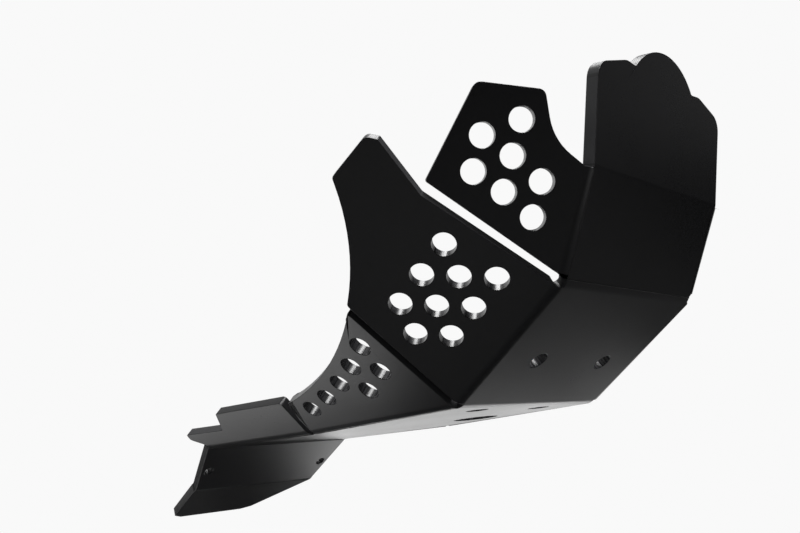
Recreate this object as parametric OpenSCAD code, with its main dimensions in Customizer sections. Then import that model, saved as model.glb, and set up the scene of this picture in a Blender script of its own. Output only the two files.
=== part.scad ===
// Skid plate for an off-road motorcycle, with a linkage guard at its tail.
// It is one sheet of black polyethylene, cut out flat, then heated and folded.
// X points forward, Y to the left of the bike and Z up.
// The origin is midway between the two belly bolts, on the inner face of the sheet,
// where the sheet lies against the lower rails of the frame.
// Every fold line is where the flat outer faces on both sides of a fold would meet.

/* [Sheet] */
// Thickness of the sheet
sheet_t = 8; // [6:0.5:10]
// Half of the width between the two rows of side folds
half_w = 80; // [72:1:90]
// Inside radius of every heated fold
fold_r = 3; // [2:0.5:5]

/* [Centre strip] */
// Length of the level belly panel
belly_len = 153.5; // [145:0.5:165]
// Length of the rear belly panel
rear_len = 149.5; // [145:0.5:165]
// Rise of the rear belly panel towards the tail, in degrees
rear_rise = 1.3; // [0.5:0.1:4]
// Length of the sloping front panel
slope_len = 110; // [106:0.5:116]
// Slope of that panel, in degrees
slope_ang = 32.5; // [26:0.5:38]
// Length of the steep nose panel
nose_len = 70; // [68:0.5:76]
// Slope of the nose panel, in degrees
nose_ang = 62; // [56:0.5:68]
// Height of the top shield, along its face, up to its crest
shield_h = 87; // [82:0.5:95]
// Slope of the top shield, in degrees
shield_ang = 76; // [70:0.5:84]

/* [Top shield outline] */
// Distance of the shield's sides inside the side folds below it
shield_in = 2; // [0:0.5:6]
// Height of the two shoulders along the face
shoulder_h = 70.6; // [64:0.2:74]
// Drop of each shoulder towards the side
shoulder_drop = 9.4; // [4:0.2:16]
// Half of the flat length across the shoulders, where the drop starts
shoulder_y = 47; // [42:0.5:56]
// Radius of the outer corners
shoulder_r = 12; // [6:0.5:18]
// Radius of the crest
crest_r = 47; // [42:0.5:60]
// Distance of the two notches beside the crest from the centre line
notch_y = 36.5; // [28:0.5:40]
// Radius in each notch
notch_r = 2.5; // [1:0.5:5]

/* [Linkage guard] */
// Length of the steep panel of the guard
guard_len = 59; // [52:0.5:70]
// Slope of that panel below level, in degrees
guard_drop = 37; // [25:0.5:48]
// Half of the width at the fold below the steep panel
guard_w = 68.5; // [60:0.5:76]
// Length of the tail panel
tail_len = 92; // [70:0.5:100]
// Slope of the tail panel below level, in degrees
tail_drop = 15; // [5:0.5:25]
// Half of the width near the end of the tail
tail_w = 46; // [34:0.5:56]
// Length of the cut-off corners of the tail
tail_cut = 7; // [3:0.5:14]
// Half of the width of the rear edge
tail_end_w = 36; // [20:0.5:40]
// Radius of the tail's corners
tail_r = 3; // [1:0.5:4]

/* [Front wing] */
// Fold of the front wing out of the plane of its panel, in degrees
wing1_fold = 41; // [30:0.5:60]
// Reach of the front wing from its fold line
wing1_reach = 90.5; // [84:0.5:100]
// Distance of its rear edge ahead of the cross fold below it, at the foot of the wing
wing1_foot = 5.5; // [3:0.5:8]
// The same distance at the outer end of that edge
wing1_back = 39.5; // [36:0.5:44]
// Reach of the front wing's nose past the upper cross fold
wing1_nose = 34.8; // [30:0.2:38]
// Drop of the front wing's free edge towards its nose
wing1_slope = 14.8; // [10:0.2:20]
// Set-back of the nose's outer corner
wing1_blunt = 4.5; // [2:0.5:7]
// Distance of the nose's lower corner from the fold line
wing1_chin = 36.4; // [32:0.2:40]
// Distance of the deepest point of the notch below the nose from the fold line
wing1_neck = 25; // [24:0.2:30]
// The same point's distance past the upper cross fold
wing1_throat = 8.5; // [4:0.5:10]
// Radius of that notch
wing1_notch_r = 34; // [26:1:35]

/* [Middle wing] */
// Fold of the middle wing out of the plane of its panel, in degrees
wing2_fold = 43; // [30:0.5:60]
// Reach of the middle wing from its fold line
wing2_reach = 144; // [136:0.5:155]
// Distance of the middle wing's horn ahead of the fold above it
wing2_horn = 12.3; // [8:0.1:16]
// Height of the blunt front of that horn
wing2_blunt = 10.5; // [8:0.5:14]
// Distance of the horn's tip behind the fold above it
wing2_tip = 22; // [18:0.5:26]
// Length of the horn, down to the throat where the front edge turns in
wing2_throat = 47.5; // [42:0.5:52]
// Drop of the middle wing's free edge from the horn to its rear corner
wing2_drop = 49; // [44:0.5:52]
// Drop of that edge at the deepest point of its scallop
wing2_dip = 33; // [31:0.5:35]
// Distance of this deepest point behind the fold above it
wing2_mid = 50; // [48:0.5:52]
// Radius of the scallop
wing2_scallop_r = 158; // [120:1:165]
// Gap between the middle wing and the belly wing, on each side of their seam
seam_gap = 0.6; // [0.4:0.1:2.5]

/* [Belly wing] */
// Fold of the belly wing out of the plane of its panel, in degrees
wing3_fold = 43; // [30:0.5:60]
// Reach of the belly wing from its fold line
wing3_reach = 91; // [84:0.5:98]
// Drop of its free edge at the deepest point of the long scallop
wing3_dip = 44.7; // [43:0.1:46]
// Distance of this deepest point behind the front fold of the belly
wing3_mid = 75.5; // [73:0.5:78]
// Reach of the rear corner of the belly wing
wing3_heel = 33.5; // [31:0.5:38]
// Set-back of that corner from the rear edge
wing3_rake = 5.5; // [3:0.5:8]
// Radius of the scallop between the two corners
wing3_scallop_r = 284; // [240:1:295]
// Gap between the belly wing and the cross fold behind it
wing_gap = 3.5; // [2:0.5:6]

/* [Rear wing] */
// Fold of the rear wing out of the plane of its panel, in degrees
wing4_fold = 44; // [30:0.5:60]
// Reach of the rear wing from its fold line
wing4_reach = 35; // [30:0.5:44]
// Length of the tab at its front
wing4_tab = 92.5; // [86:0.5:98]
// Length of the slope behind the tab
wing4_ramp = 11.5; // [8:0.5:15]
// Height of that slope
wing4_step = 17; // [15:0.5:20]
// Length of the rear wing's nose past the fold of the guard
wing4_nose = 15; // [8:0.5:20]

/* [Lightening holes] */
// Diameter of every lightening hole
vent_d = 15; // [8:0.5:16]
// Pitch of the holes along the front wing
vent1_pitch = 21; // [19:0.1:22]
// Pitch between the rows of the front wing
vent1_row = 19.7; // [17:0.1:20.5]
// Distance of the lowest row of the front wing from its fold line
vent1_b = 25.6; // [24:0.1:30]
// Pitch of the holes along the middle wing
vent2_pitch = 24.2; // [20:0.1:26]
// Pitch between the rows of the middle wing and of the belly wing
vent2_row = 18.6; // [17:0.1:21]
// Distance of the lowest row of the middle wing from its fold line
vent2_b = 31.9; // [26:0.1:36]
// Distance of that row's first hole behind the fold above it
vent2_x = 19.4; // [16:0.1:22]
// Distance of the belly wing's outer row of holes from its scalloped edge
vent3_edge = 13.6; // [11:0.1:16]
// Pitch of these holes along their arc
vent3_pitch = 25.6; // [22:0.1:27]
// Diameter of the relief holes where two side folds meet a cross fold
relief_d = 6; // [4:0.5:8]

/* [Mounting holes] */
// Diameter of the two belly bolt holes
belly_bolt_d = 16; // [8:0.5:20]
// Distance between the belly bolts
belly_bolt_w = 71; // [50:0.5:90]
// Distance of the belly bolts behind the front fold of the belly
belly_bolt_x = 21; // [16:0.5:40]
// Diameter of the two holes in the sloping panel
slope_bolt_d = 13.5; // [8:0.5:18]
// Distance between them
slope_bolt_w = 76; // [50:0.5:100]
// Distance of these holes below the upper fold of the sloping panel
slope_bolt_x = 64.5; // [40:0.5:80]
// Diameter of the two holes in the linkage guard
guard_bolt_d = 9; // [5:0.5:10]
// Distance between them
guard_bolt_w = 131; // [110:0.5:134]
// Distance of these holes behind the front fold of the guard
guard_bolt_x = 32; // [20:0.5:40]
// Diameter of the access hole to the drain plug
drain_d = 36; // [20:0.5:40]
// Distance of the access hole to the left of the centre line
drain_y = 40; // [30:0.5:48]
// Distance of the access hole behind the front fold of the belly
drain_x = 88; // [70:0.5:110]

/* [Hidden] */
$fn = 64;
// Outer radius of a fold
out_r = fold_r + sheet_t;
// How far a computed arc may stray from the true one
arc_err = 0.05;
// How much thinner and shorter a fold is than the flat parts next to it, at each face
thin = 0.02;
// Angle by which a fold runs into these flat parts
lap_a = 0.4;
// How far cutters reach past the faces that they cut
over = 1;
// Length over which the sides stay straight next to a fold of the guard
root = 1;
// Small rise of the rear wing's edges towards the rear
rise = 1.5;
// Radii of the crisp, the usual and the blunt corners of the wings
crisp_r = 1.5;
corner_r = 3;
blunt_r = 5;
black = [0.07, 0.07, 0.075];
// Place of the first hole in each row of the front wing, ahead of the upper cross fold
vent1_x = [-15.7, 15.6, 1.9];
// Angle of the belly wing's first hole, seen from the centre of its scallop
vent3_a = 33.8;

// Length that a fold takes from the flat face next to it
function take(a, r = out_r) = r * tan(abs(a) / 2);
take1 = take(shield_ang - nose_ang);
take2 = take(nose_ang - slope_ang);
take3 = take(slope_ang);
take5 = take(guard_drop + rear_rise, fold_r);
take6 = take(guard_drop - tail_drop);
side1 = take(wing1_fold);
side2 = take(wing2_fold);
side3 = take(wing3_fold);
side4 = take(wing4_fold);

// Arc in place of a corner: p is the corner, a and b are its neighbours, r the radius
function unit(v) = v / norm(v);
function arc_at(a, p, b, r) =
    let (u = unit(a - p), w = unit(b - p),
         half = acos(u * w) / 2,
         mid = p + unit(u + w) * r / sin(half),
         turn = 180 - 2 * half,
         n = max(2, ceil(turn * PI / 180 * sqrt(r / (8 * arc_err)))),
         s = sign(u[0] * w[1] - u[1] * w[0]),
         // Direction from the middle of the arc to its first point
         d = p + u * r / tan(half) - mid)
    [for (i = [0:n]) let (q = -s * turn * i / n)
        mid + [d[0] * cos(q) - d[1] * sin(q), d[0] * sin(q) + d[1] * cos(q)]];
// Outline with rounded corners, from points [x, y, corner radius]
function rounded(c) = let (n = len(c)) [for (i = [0:n - 1])
    let (p = [c[i][0], c[i][1]], a = c[(i + n - 1) % n], b = c[(i + 1) % n])
    each (c[i][2] > 0 ? arc_at([a[0], a[1]], p, [b[0], b[1]], c[i][2]) : [p])];

// Makes the left one and its mirror image on the right
module both() { children(); mirror([0, 1, 0]) children(); }
// Sheet of full thickness from an outline, outer face at Z = 0
module sheet(c) { linear_extrude(sheet_t) polygon(rounded(c)); }
// Flat part of a panel, w to each side
module strip(len, w) { translate([0, -w, 0]) cube([len, 2 * w, sheet_t]); }
// Drilled hole through a panel or a wing, straight across the sheet
module drill(x, y, d) { translate([x, y, -over]) cylinder(d = d, h = sheet_t + 2 * over); }

// Bent stretch of sheet around the Z axis, with its ends run into the flat parts
module bend(from, a, len) {
    rotate([0, 0, from - lap_a]) rotate_extrude(angle = a + 2 * lap_a)
        translate([fold_r + thin, thin]) square([sheet_t - 2 * thin, len - 2 * thin]);
}
// Cross fold at the far end of a flat part, w to each side: up where a is positive, else down
module cross_fold(a, w) {
    translate([0, w, a > 0 ? out_r : -fold_r]) rotate([90, 0, 0])
        bend(a > 0 ? -90 : 90 + a, abs(a), 2 * w);
}
// Places what follows a cross fold, in the frame of the next flat part
module after_fold(a) {
    c = a > 0 ? out_r : -fold_r;
    translate([0, 0, c]) rotate([0, -a, 0]) translate([0, 0, -c]) children();
}
// Side fold along the left edge of a panel, from x0 to x1
module side_fold(a, x0, x1) {
    translate([x0, half_w - take(a), out_r]) rotate([90, 0, 90]) bend(-90, a, x1 - x0);
}
// Places a wing beyond its side fold, with Y measured from the fold line
module on_wing(a) {
    translate([0, half_w - take(a), out_r]) rotate([a, 0, 0]) translate([0, -take(a), -out_r]) children();
}

// Half-angle of the crest, seen from the centre of its arc, and the notch height
crest_a = asin(notch_y / crest_r);
crest_s = shield_h - crest_r;
notch_s = crest_s + crest_r * cos(crest_a);
shield_w = half_w - shield_in;

// Top shield with its crest and two shoulders, above the upper cross fold
module shield() {
    half = [[0, shield_w, 0], [shoulder_h - shoulder_drop - take1, shield_w, shoulder_r],
        [shoulder_h - take1, shoulder_y, shoulder_r], [notch_s - take1, notch_y, notch_r]];
    sheet(concat(half, [[crest_s + crest_r / cos(crest_a) - take1, 0, crest_r]],
        [for (i = [3:-1:0]) [half[i][0], -half[i][1], half[i][2]]]));
}

// Guard below the rear belly panel: a steep part, a fold back and the tail
module guard() {
    flat = guard_len - take5 - take6;
    cross_fold(-guard_drop - rear_rise, half_w);
    after_fold(-guard_drop - rear_rise) difference() {
        union() {
            sheet([[0, -half_w, 0], [root, -half_w, 0], [flat - root, -guard_w, 0], [flat, -guard_w, 0],
                [flat, guard_w, 0], [flat - root, guard_w, 0], [root, half_w, 0], [0, half_w, 0]]);
            translate([flat, 0, 0]) {
                cross_fold(guard_drop - tail_drop, guard_w);
                after_fold(guard_drop - tail_drop) translate([-take6, 0, 0])
                    sheet([[take6, -guard_w, 0], [take6 + root, -guard_w, 0], [tail_len - tail_cut, -tail_w, tail_r],
                        [tail_len, -tail_end_w, tail_r], [tail_len, tail_end_w, tail_r],
                        [tail_len - tail_cut, tail_w, tail_r], [take6 + root, guard_w, 0], [take6, guard_w, 0]]);
            }
        }
        for (y = [-1, 1] * guard_bolt_w / 2) drill(guard_bolt_x - take5, y, guard_bolt_d);
    }
}

// Front wing on the nose panel; its curved shoulder rises past the upper cross fold
module wing1() {
    foot = max(wing1_foot, take2) - nose_len;
    side_fold(wing1_fold, foot, -take1);
    on_wing(wing1_fold) difference() {
        sheet([[-take1, side1, 0], [foot, side1, 0], [wing1_back - nose_len, wing1_reach, crisp_r],
            [wing1_nose - wing1_blunt, wing1_reach - wing1_slope, blunt_r], [wing1_nose, wing1_chin, blunt_r],
            [wing1_throat, wing1_neck, wing1_notch_r]]);
        for (row = [0:2], i = [0:row % 2 + 1])
            drill(vent1_x[row] - i * vent1_pitch, vent1_b + row * vent1_row, vent_d);
    }
}

// Direction of a wing's inner normal and of its reach, on the left side
function wing_n(ang, a) = [-sin(ang) * cos(a), -sin(a), cos(ang) * cos(a)];
function wing_v(ang, a) = [-sin(ang) * sin(a), cos(a), cos(ang) * sin(a)];
function ahead(ang) = [cos(ang), 0, sin(ang)];
// The middle and belly wings meet along the line where their outer faces cross
n2 = wing_n(slope_ang, wing2_fold);
n3 = wing_n(0, wing3_fold);
seam = cross(n2, n3);
// Forward lean of that seam for each unit of reach, in the plane of each wing
lean2 = (seam * ahead(slope_ang)) / (seam * wing_v(slope_ang, wing2_fold));
lean3 = (seam * ahead(0)) / (seam * wing_v(0, wing3_fold));
// Both edges stand back from the seam, so that their inner corners stay apart
back = sheet_t * tan(acos(n2 * n3) / 2) + seam_gap;
function edge2(b) = back * sqrt(1 + lean2 * lean2) + lean2 * b - slope_len;
function edge3(b) = lean3 * b - back * sqrt(1 + lean3 * lean3);

// Middle wing on the sloping panel, the tallest, with a blunt horn at its front
module wing2() {
    heel = wing2_reach - wing2_drop;
    side_fold(wing2_fold, take3 - slope_len, -take2);
    on_wing(wing2_fold) difference() {
        sheet([[-take2, side2, 0], [edge2(side2), side2, 0], [edge2(heel), heel, corner_r],
            [-wing2_mid, wing2_reach - wing2_dip, wing2_scallop_r], [-wing2_tip, wing2_reach, corner_r],
            [wing2_horn - wing2_blunt / 4, wing2_reach - wing2_blunt / 3, blunt_r],
            [wing2_horn, wing2_reach - wing2_blunt, crisp_r], [-crisp_r, wing2_reach - wing2_throat, corner_r]]);
        for (row = [0:2], i = [0:2])
            drill(-vent2_x - (i + (row % 2) / 2) * vent2_pitch, vent2_b + row * vent2_row, vent_d);
    }
}

// Corners of the belly wing, and the centre of the long scallop along its edge
wing3_end = wing_gap - belly_len;
wing3_c = [[edge3(wing3_reach), wing3_reach], [-wing3_mid, wing3_reach - wing3_dip],
    [wing3_end + wing3_rake, wing3_heel]];
function arc_centre(a, p, b, r) = let (u = unit(a - p), w = unit(b - p))
    p + unit(u + w) * r / sin(acos(u * w) / 2);
scallop_c = arc_centre(wing3_c[0], wing3_c[1], wing3_c[2], wing3_scallop_r);

// Belly wing: its long edge is scalloped, and its holes follow that arc in two rows
module wing3() {
    side_fold(wing3_fold, wing3_end, -take3);
    on_wing(wing3_fold) difference() {
        sheet([[edge3(side3), side3, 0], [wing3_end, side3, 0], [wing3_end, wing3_heel / 2, 0],
            concat(wing3_c[2], crisp_r), concat(wing3_c[1], wing3_scallop_r), concat(wing3_c[0], crisp_r)]);
        for (row = [0, 1], i = [0:4 - 3 * row]) {
            r = wing3_scallop_r + vent3_edge + row * vent2_row;
            q = vent3_a - (i + row / 2) * vent3_pitch / (wing3_scallop_r + vent3_edge) * 180 / PI;
            drill(scallop_c[0] + r * sin(q), scallop_c[1] - r * cos(q), vent_d);
        }
    }
}

// Rear wing: a low tab with a step down to a pointed nose beyond the guard's fold
module wing4() {
    front = wing_gap / 2;
    end = rear_len + wing4_nose;
    step_b = wing4_reach - wing4_step;
    side_fold(wing4_fold, front, rear_len - take5);
    on_wing(wing4_fold)
        sheet([[front, side4, 0], [front, wing4_reach, corner_r], [wing4_tab, wing4_reach + rise, crisp_r],
            [wing4_tab + wing4_ramp, step_b, crisp_r], [end - crisp_r, step_b + rise, crisp_r],
            [end, step_b - blunt_r, corner_r], [rear_len - take5, side4, 0]]);
}

// Relief holes on the corners where the side folds of two panels meet a cross fold of angle a
module relief(a, side) {
    both() translate([0, half_w, 0]) rotate([0, -a / 2, 0]) rotate([side / 2, 0, 0])
        cylinder(d = relief_d, h = 4 * out_r, center = true);
}

// Nose panel and all above it, from the lower cross fold of that panel
module nose() {
    flat = nose_len - take2 - take1;
    strip(flat, half_w - side1);
    translate([nose_len - take2, 0, 0]) both() wing1();
    translate([flat, 0, 0]) {
        cross_fold(shield_ang - nose_ang, shield_w);
        after_fold(shield_ang - nose_ang) shield();
    }
}

// Sloping front panel and all above it
module slope() {
    flat = slope_len - take3 - take2;
    difference() {
        strip(flat, half_w - side2);
        for (y = [-1, 1] * slope_bolt_w / 2) drill(slope_len - take3 - slope_bolt_x, y, slope_bolt_d);
    }
    translate([slope_len - take3, 0, 0]) both() wing2();
    translate([flat, 0, 0]) {
        cross_fold(nose_ang - slope_ang, half_w - max(side1, side2));
        after_fold(nose_ang - slope_ang) nose();
    }
}

// The whole sheet, built outwards from the level belly panel
module skid_plate() {
    flat = belly_len - take3;
    color(black) translate([belly_bolt_x - belly_len, 0, -sheet_t]) difference() {
        union() {
            strip(flat, half_w - side3);
            translate([belly_len, 0, 0]) both() wing3();
            translate([flat, 0, 0]) {
                cross_fold(slope_ang, half_w - max(side2, side3));
                after_fold(slope_ang) slope();
            }
            // The rear belly panel rises a little towards the guard
            mirror([1, 0, 0]) rotate([0, -rear_rise, 0]) {
                strip(rear_len - take5, half_w - side4);
                both() wing4();
                translate([rear_len - take5, 0, 0]) guard();
            }
        }
        for (y = [-1, 1] * belly_bolt_w / 2) drill(belly_len - belly_bolt_x, y, belly_bolt_d);
        drill(belly_len - drain_x, drain_y, drain_d);
        translate([belly_len, 0, 0]) {
            relief(slope_ang, (wing2_fold + wing3_fold) / 2);
            rotate([0, -slope_ang, 0]) translate([slope_len, 0, 0])
                relief(nose_ang - slope_ang, (wing1_fold + wing2_fold) / 2);
        }
    }
}

skid_plate();
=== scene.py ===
# Skid plate of an off-road motorcycle: finish, edges, studio and camera.
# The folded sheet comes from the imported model. This script breaks its cut edges and gives it
# its surface.
import math
import random

import bmesh
import bpy
from bpy.props import FloatProperty, FloatVectorProperty, IntProperty, PointerProperty
from bpy.types import Operator, Panel, PropertyGroup
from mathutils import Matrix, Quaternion, Vector


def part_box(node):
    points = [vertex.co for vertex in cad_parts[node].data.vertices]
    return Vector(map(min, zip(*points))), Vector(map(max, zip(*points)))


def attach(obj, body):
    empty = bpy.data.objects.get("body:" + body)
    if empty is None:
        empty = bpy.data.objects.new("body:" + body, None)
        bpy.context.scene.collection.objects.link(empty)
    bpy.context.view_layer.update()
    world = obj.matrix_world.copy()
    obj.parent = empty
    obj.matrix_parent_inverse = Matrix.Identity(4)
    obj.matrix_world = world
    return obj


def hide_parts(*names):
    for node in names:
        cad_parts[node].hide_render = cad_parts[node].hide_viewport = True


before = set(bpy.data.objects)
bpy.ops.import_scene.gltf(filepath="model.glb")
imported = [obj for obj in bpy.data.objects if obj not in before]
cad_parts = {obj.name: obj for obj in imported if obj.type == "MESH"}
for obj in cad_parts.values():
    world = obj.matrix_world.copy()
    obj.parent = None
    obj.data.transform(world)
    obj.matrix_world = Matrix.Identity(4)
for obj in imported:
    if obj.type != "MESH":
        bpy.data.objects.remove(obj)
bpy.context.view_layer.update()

bl_info = {
    "name": "Skid plate",
    "version": (1, 0, 0),
    "blender": (4, 5, 0),
    "location": "View3D > Sidebar > Skid plate",
    "description": "Folded polyethylene skid plate with routed edges, in a plain studio",
    "category": "Object",
}

NODE = "skid_plate"
MM = 0.001
LOW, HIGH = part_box(NODE)
MIDDLE = (LOW + HIGH) / 2


# Shader maths as expressions
class Value:
    """A shader socket that adds Math nodes when it is used in an expression."""

    def __init__(self, tree, socket):
        self.tree = tree
        self.socket = socket

    def math(self, operation, other):
        return self.tree.node("ShaderNodeMath", {"operation": operation}, (self, other))

    def __add__(self, other):
        return self.math("ADD", other)

    def __sub__(self, other):
        return self.math("SUBTRACT", other)

    def __mul__(self, other):
        return self.math("MULTIPLY", other)


class Tree:
    """Node tree of a material or of the world, with one method that adds any node."""

    def __init__(self, owner):
        owner.use_nodes = True
        self.nodes = owner.node_tree.nodes
        self.links = owner.node_tree.links
        self.nodes.clear()

    def node(self, kind, settings=None, inputs=(), output=0):
        """Adds a node: settings first, then the values or links of its sockets."""
        made = self.nodes.new(kind)
        for name, value in (settings or {}).items():
            setattr(made, name, value)
        pairs = inputs.items() if isinstance(inputs, dict) else enumerate(inputs)
        for key, value in pairs:
            if isinstance(value, Value):
                self.links.new(value.socket, made.inputs[key])
            else:
                made.inputs[key].default_value = value
        return Value(self, made.outputs[output])

    def object_point(self, scale=(1.0, 1.0, 1.0)):
        """Object coordinates, multiplied by a scale along each axis."""
        point = self.node("ShaderNodeTexCoord", output=3)
        return self.node("ShaderNodeMapping", {}, {"Vector": point, "Scale": scale})

    def noise(self, point, scale, detail=2.0, roughness=0.5):
        """Noise between 0 and 1, about 0.5."""
        return self.node("ShaderNodeTexNoise", {}, {
            "Vector": point, "Scale": scale, "Detail": detail, "Roughness": roughness})

    def attribute(self, name):
        """Number stored on each face of the mesh."""
        return self.node("ShaderNodeAttribute", {"attribute_name": name}, output=2)

    def fade(self, value, low, high, out_low=0.0, out_high=1.0):
        """Smooth change from out_low to out_high while value goes from low to high."""
        return self.node("ShaderNodeMapRange", {"interpolation_type": "SMOOTHSTEP"}, {
            "Value": value, "From Min": low, "From Max": high,
            "To Min": out_low, "To Max": out_high})

    def mix(self, factor, a, b):
        """Colour between a and b."""
        return self.node("ShaderNodeMix", {"data_type": "RGBA"}, {0: factor, 6: a, 7: b}, output=2)

    def bump(self, height, depth, below=None):
        """Surface direction for a relief of this depth, on top of the relief below it."""
        inputs = {"Height": height, "Strength": 1.0, "Distance": depth}
        if below is not None:
            inputs["Normal"] = below
        return self.node("ShaderNodeBump", {}, inputs)

    def plastic(self, colour, rough, normal):
        """Surface of the polyethylene, with its refractive index."""
        return self.node("ShaderNodeBsdfPrincipled", {}, {
            "Base Color": colour, "Roughness": rough, "Normal": normal, "IOR": 1.52})

    def surface(self, shader, kind="ShaderNodeOutputMaterial"):
        """Joins the shader to the output of the tree."""
        end = self.nodes.new(kind)
        self.links.new(shader.socket, end.inputs["Surface"])


def shade(colour, factor):
    """Colour times a number, as four values."""
    return (*(channel * factor for channel in colour[:3]), 1.0)


def swing(noise, width):
    """Noise turned into a number that varies about zero, over this width."""
    return (noise - 0.5) * width


# Sizes and colours that a user would change
class PlateSettings(PropertyGroup):
    edge_round: FloatProperty(
        name="Edge rounding", description="Width of the broken edge along every cut",
        default=0.45 * MM, min=0.0, max=1.5 * MM, subtype="DISTANCE", unit="LENGTH", precision=5)
    edge_steps: IntProperty(
        name="Edge steps", description="Facets across the broken edge", default=2, min=1, max=4)
    face_colour: FloatVectorProperty(
        name="Sheet colour", description="Colour of the faces of the sheet",
        default=(0.0095, 0.0095, 0.0105), min=0.0, max=1.0, subtype="COLOR")
    cut_colour: FloatVectorProperty(
        name="Cut colour", description="Colour of the cut edges and hole walls",
        default=(0.024, 0.024, 0.0255), min=0.0, max=1.0, subtype="COLOR")
    face_gloss: FloatProperty(
        name="Sheet roughness", description="Roughness of the faces of the sheet",
        default=0.30, min=0.05, max=1.0, subtype="FACTOR")
    cut_gloss: FloatProperty(
        name="Cut roughness", description="Roughness of the outer cut edges",
        default=0.42, min=0.05, max=1.0, subtype="FACTOR")
    bore_gloss: FloatProperty(
        name="Bore roughness", description="Roughness of the hole walls",
        default=0.26, min=0.05, max=1.0, subtype="FACTOR")


class StudioSettings(PropertyGroup):
    floor_depth: FloatProperty(
        name="Floor depth", description="Depth of the floor below the belly of the plate",
        default=0.62, min=0.1, max=2.0, subtype="DISTANCE", unit="LENGTH")
    floor_radius: FloatProperty(
        name="Floor radius", description="Radius of the round floor",
        default=6.0, min=1.0, max=20.0, subtype="DISTANCE", unit="LENGTH")
    floor_colour: FloatVectorProperty(
        name="Floor colour", description="Colour of the floor",
        default=(0.82, 0.82, 0.82), min=0.0, max=1.0, subtype="COLOR")
    backdrop: FloatProperty(
        name="Backdrop", description="Level of the pale backdrop",
        default=0.947, min=0.0, max=1.0)
    room: FloatProperty(
        name="Room", description="Level of the dim room around the plate",
        default=0.012, min=0.0, max=1.0)


class CameraSettings(PropertyGroup):
    place: FloatVectorProperty(
        name="Camera place", description="Where the camera stands", size=3,
        default=(0.36215, -0.46138, -0.04243), subtype="XYZ", unit="LENGTH")
    aim: FloatVectorProperty(
        name="Camera aim", description="Point in the middle of the picture", size=3,
        default=(-0.09432, 0.0, 0.12438), subtype="XYZ", unit="LENGTH")
    roll: FloatProperty(
        name="Roll", description="Turn of the camera about its line of sight",
        default=math.radians(-6.418), subtype="ANGLE", unit="ROTATION")
    lens: FloatProperty(
        name="Lens", description="Focal length for a 36 mm wide sensor, in millimetres",
        default=35.52, min=10.0, max=200.0)


# Finishes
def sheet_finish(settings):
    """Skived black polyethylene: satin, with a fine grain, faint drag lines and soft unevenness."""
    material = bpy.data.materials.new("sheet_face")
    tree = Tree(material)
    point = tree.object_point()
    drag = tree.object_point((6.0, 90.0, 90.0))
    cloud = tree.noise(point, scale=9.0, detail=3.0, roughness=0.55)
    grain = tree.noise(point, scale=900.0, detail=3.0, roughness=0.6)
    lines = tree.noise(drag, scale=14.0, detail=3.0, roughness=0.6)
    ripple = tree.noise(point, scale=26.0, detail=1.0)
    colour = tree.mix(cloud, shade(settings.face_colour, 0.8), shade(settings.face_colour, 1.25))
    rough = swing(cloud, 0.10) + swing(lines, 0.07) + swing(grain, 0.05) + settings.face_gloss
    normal = tree.bump(ripple, depth=0.10 * MM)
    normal = tree.bump(lines, depth=0.006 * MM, below=normal)
    normal = tree.bump(grain, depth=0.008 * MM, below=normal)
    tree.surface(tree.plastic(colour, rough, normal))
    return material


def cut_finish(settings):
    """Cut edge of the same sheet: paler, satin round the outline and glossier in the bores, with a
    random tone on each facet that paints sheen streaks along the walls.
    """
    material = bpy.data.materials.new("cut_edge")
    tree = Tree(material)
    point = tree.object_point()
    cloud = tree.noise(point, scale=60.0)
    marks = tree.noise(point, scale=520.0, roughness=0.7)
    # Random tone on each facet, from 0.4 to 1.8 times the cut colour: painted sheen streaks along
    # the cut edges and hole walls. The same number also varies the roughness.
    painted_sheen_streak = tree.attribute("painted_sheen_streak")
    colour = tree.mix(painted_sheen_streak, shade(settings.cut_colour, 0.4), shade(settings.cut_colour, 1.8))
    bore = tree.attribute("bore")
    gloss = bore * (settings.bore_gloss - settings.cut_gloss) + settings.cut_gloss
    rough = swing(painted_sheen_streak, 0.12) + swing(marks, 0.10) + swing(cloud, 0.08) + gloss
    normal = tree.bump(marks, depth=0.012 * MM)
    tree.surface(tree.plastic(colour, rough, normal))
    return material


def floor_finish(settings):
    """Pale floor that takes the plate's shadow and melts into the backdrop further out."""
    material = bpy.data.materials.new("pale_floor")
    tree = Tree(material)
    point = tree.node("ShaderNodeTexCoord", output=3)
    away = tree.node("ShaderNodeVectorMath", {"operation": "LENGTH"}, {0: point}, output=1)
    seen = tree.node("ShaderNodeLightPath", output=0)
    matt = tree.node("ShaderNodeBsdfDiffuse", {}, {"Color": (*settings.floor_colour, 1.0)})
    pale = tree.node("ShaderNodeEmission", {}, {"Color": shade((1, 1, 1), settings.backdrop)})
    share = tree.fade(away, low=0.2, high=1.7, out_low=0.72) * seen
    tree.surface(tree.node("ShaderNodeMixShader", {}, (share, matt, pale)))
    return material


# The plate
def patches(mesh, smooth_angle):
    """Groups of faces with no sharp edge inside: skins of the sheet, cut edges and hole walls."""
    left = set(mesh.faces)
    for start in mesh.faces:
        if start not in left:
            continue
        left.remove(start)
        patch, waiting = [start], [start]
        while waiting:
            for edge in waiting.pop().edges:
                if edge.calc_face_angle(math.pi) > smooth_angle:
                    continue
                for other in edge.link_faces:
                    if other in left:
                        left.remove(other)
                        patch.append(other)
                        waiting.append(other)
        yield patch


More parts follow.
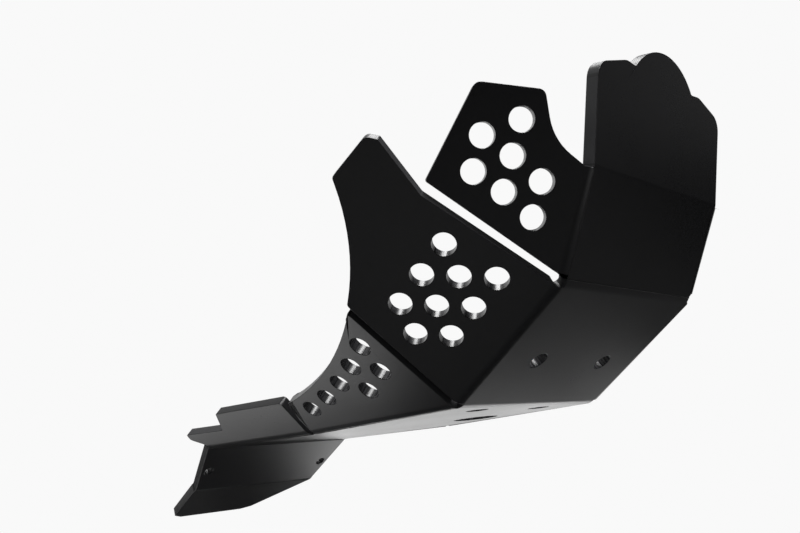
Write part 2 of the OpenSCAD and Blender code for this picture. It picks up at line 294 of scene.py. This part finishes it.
class PLATE_OT_sheet(Operator):
    """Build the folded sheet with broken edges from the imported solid"""

    bl_idname = "skid_plate.sheet"
    bl_label = "Folded sheet"

    # Corners closer than this become one, and faces flatter than this join
    WELD = 0.1 * MM
    FLAT = math.radians(0.3)
    # Sharpest edge inside a patch of faces, and sharpest edge that stays unbroken
    SMOOTH = math.radians(40)
    UNBROKEN = math.radians(50)
    # A patch larger than this area is a skin of the sheet, and a smaller one is a cut
    LARGEST_CUT = 4000 * MM * MM
    # Length of a patch's mean normal: 1 where it is flat, and near 0 round a whole bore
    BORE_NORMAL = 0.1
    # Order of the two materials, and start of the random draws
    SKIN, CUT = 0, 1
    SEED = 7

    def execute(self, context):
        settings = context.scene.plate
        data = self.sheet_mesh()
        data.materials.append(sheet_finish(settings))
        data.materials.append(cut_finish(settings))
        sheet = bpy.data.objects.new("folded_sheet", data)
        context.scene.collection.objects.link(sheet)
        edges = sheet.modifiers.new("broken_edges", "BEVEL")
        edges.width = settings.edge_round
        edges.segments = settings.edge_steps
        edges.limit_method = "ANGLE"
        edges.angle_limit = self.UNBROKEN
        edges.use_clamp_overlap = False
        flat = sheet.modifiers.new("flat_panels", "WEIGHTED_NORMAL")
        flat.mode = "FACE_AREA"
        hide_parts(NODE)
        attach(sheet, "root")
        return {"FINISHED"}

    def sheet_mesh(self):
        """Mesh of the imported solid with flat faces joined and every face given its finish."""
        mesh = bmesh.new()
        mesh.from_mesh(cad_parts[NODE].data)
        bmesh.ops.remove_doubles(mesh, verts=mesh.verts, dist=self.WELD)
        bmesh.ops.dissolve_limit(
            mesh, angle_limit=self.FLAT, verts=mesh.verts, edges=mesh.edges)
        painted_sheen_streak = mesh.faces.layers.float.new("painted_sheen_streak")
        bore = mesh.faces.layers.float.new("bore")
        for patch in patches(mesh, self.SMOOTH):
            area = sum(face.calc_area() for face in patch)
            lean = sum((face.normal * face.calc_area() for face in patch), Vector())
            for face in patch:
                face.smooth = True
                face.material_index = self.SKIN if area > self.LARGEST_CUT else self.CUT
                face[bore] = 1.0 if lean.length / area < self.BORE_NORMAL else 0.0
        # One random number for each face. It paints sheen streaks on the cut edges and hole walls
        # and varies their roughness.
        dice = random.Random(self.SEED)
        for face in mesh.faces:
            face[painted_sheen_streak] = dice.random()
        data = bpy.data.meshes.new("folded_sheet")
        mesh.to_mesh(data)
        mesh.free()
        return data


# Studio
def softbox(context, name, place, aim, size, level):
    """Rectangular lamp of an even radiance, which the camera doesn't see."""
    lamp = bpy.data.lights.new(name, "AREA")
    lamp.shape = "RECTANGLE"
    lamp.size, lamp.size_y = size
    lamp.energy = level * math.pi * lamp.size * lamp.size_y
    made = bpy.data.objects.new(name, lamp)
    context.scene.collection.objects.link(made)
    made.location = place
    made.visible_camera = False
    if aim is None:
        made.rotation_euler = (math.pi, 0.0, 0.0)
    else:
        made.rotation_euler = (Vector(aim) - Vector(place)).to_track_quat("-Z", "Y").to_euler()


LAMPS = (
    # name, place in metres, aim (None: straight up), width and depth in metres, radiance
    ("low_strip", (-0.36, 0.68, -0.42), None, (0.24, 0.64), 3.1),
    ("low_rear", (-0.90, 1.10, -0.42), None, (1.50, 0.40), 1.9),
    ("low_side", (-0.96, -0.42, -0.42), None, (1.06, 0.60), 1.6),
    ("low_fold", (-0.64, 0.13, -0.42), None, (0.26, 0.26), 0.13),
    ("low_near", (0.95, -0.80, -0.46), None, (2.00, 1.00), 0.09),
    ("low_mid", (0.00, -0.42, -0.45), None, (0.50, 0.64), 0.06),
    ("low_far", (0.90, 1.30, -0.46), None, (1.80, 1.40), 0.08),
    ("rear_wall", (-2.08, 2.25, -0.24), MIDDLE, (1.25, 1.00), 1.3),
    ("rear_strip", (-2.56, 1.66, -0.34), MIDDLE, (0.60, 0.70), 0.2),
    ("rear_high", (-2.20, 0.10, 0.60), MIDDLE, (1.80, 1.50), 0.4),
    ("rear_low", (-1.39, 0.34, -0.31), MIDDLE, (0.50, 0.26), 0.12),
    ("back_far", (-1.60, 0.90, 1.20), MIDDLE, (1.60, 1.60), 0.75),
    ("back_near", (-1.00, -1.40, 1.10), MIDDLE, (1.60, 1.60), 0.5),
    ("side_far", (-0.50, 2.30, 0.60), MIDDLE, (1.60, 1.20), 0.5),
    ("side_near", (-0.20, -2.20, 0.60), MIDDLE, (1.60, 1.20), 0.12),
    ("front_high", (0.77, 1.34, 0.63), MIDDLE, (0.80, 0.60), 0.12),
    ("front", (1.40, 0.50, -0.05), MIDDLE, (0.70, 0.70), 0.9),
    ("key", (0.57, -0.20, 1.25), MIDDLE, (0.60, 0.60), 17.0),
    ("rim", (-0.23, 0.42, 1.38), MIDDLE, (0.42, 0.42), 9.0),
    ("top", (-0.10, 0.10, 1.30), MIDDLE, (1.20, 1.20), 0.45),
)


class PLATE_OT_stage(Operator):
    """Build the pale floor, the backdrop and the lamps"""

    bl_idname = "skid_plate.stage"
    bl_label = "Studio"

    def execute(self, context):
        settings = context.scene.studio
        self.floor(context, settings)
        self.backdrop(context, settings)
        for lamp in LAMPS:
            softbox(context, *lamp)
        context.scene.view_settings.view_transform = "Standard"
        return {"FINISHED"}

    def floor(self, context, settings):
        """Round floor below the plate, left out of its reflections."""
        mesh = bmesh.new()
        bmesh.ops.create_circle(mesh, cap_ends=True, segments=96, radius=settings.floor_radius)
        data = bpy.data.meshes.new("floor")
        mesh.to_mesh(data)
        mesh.free()
        data.materials.append(floor_finish(settings))
        made = bpy.data.objects.new("floor", data)
        made.location = (MIDDLE.x, MIDDLE.y, -settings.floor_depth)
        made.visible_glossy = False
        context.scene.collection.objects.link(made)

    def backdrop(self, context, settings):
        """Even world: pale to the camera, and dim to the plate."""
        world = bpy.data.worlds.new("studio")
        context.scene.world = world
        tree = Tree(world)
        seen = tree.node("ShaderNodeLightPath", output=0)
        level = tree.node("ShaderNodeMix", {"data_type": "FLOAT"}, {
            0: seen, 2: settings.room, 3: settings.backdrop})
        light = tree.node("ShaderNodeBackground", {}, {
            "Color": (1, 1, 1, 1), "Strength": level})
        tree.surface(light, "ShaderNodeOutputWorld")


class PLATE_OT_camera(Operator):
    """Place the camera"""

    bl_idname = "skid_plate.camera"
    bl_label = "Camera"

    def execute(self, context):
        settings = context.scene.shot
        data = bpy.data.cameras.new("camera")
        data.lens = settings.lens
        data.clip_start, data.clip_end = 0.01, 50.0
        made = bpy.data.objects.new("camera", data)
        context.scene.collection.objects.link(made)
        made.location = settings.place
        made.rotation_mode = "QUATERNION"
        sight = Vector(settings.aim) - Vector(settings.place)
        roll = Quaternion((0.0, 0.0, 1.0), settings.roll)
        made.rotation_quaternion = sight.to_track_quat("-Z", "Y") @ roll
        context.scene.camera = made
        return {"FINISHED"}


class PLATE_PT_panel(Panel):
    """Skid plate in the sidebar"""

    bl_label = "Skid plate"
    bl_space_type = "VIEW_3D"
    bl_region_type = "UI"
    bl_category = "Skid plate"

    def draw(self, context):
        layout = self.layout
        for settings in (context.scene.plate, context.scene.studio, context.scene.shot):
            for name in settings.bl_rna.properties.keys():
                if name not in ("rna_type", "name"):
                    layout.prop(settings, name)
        for step in STEPS:
            layout.operator(step.bl_idname)


GROUPS = {"plate": PlateSettings, "studio": StudioSettings, "shot": CameraSettings}
STEPS = (PLATE_OT_camera, PLATE_OT_sheet, PLATE_OT_stage)
CLASSES = (*GROUPS.values(), *STEPS, PLATE_PT_panel)


def register():
    for made in CLASSES:
        bpy.utils.register_class(made)
    for name, group in GROUPS.items():
        setattr(bpy.types.Scene, name, PointerProperty(type=group))


def unregister():
    for name in GROUPS:
        delattr(bpy.types.Scene, name)
    for made in reversed(CLASSES):
        bpy.utils.unregister_class(made)


def main():
    register()
    bpy.ops.skid_plate.camera()
    bpy.ops.skid_plate.sheet()
    bpy.ops.skid_plate.stage()


if __name__ == "__main__":
    main()
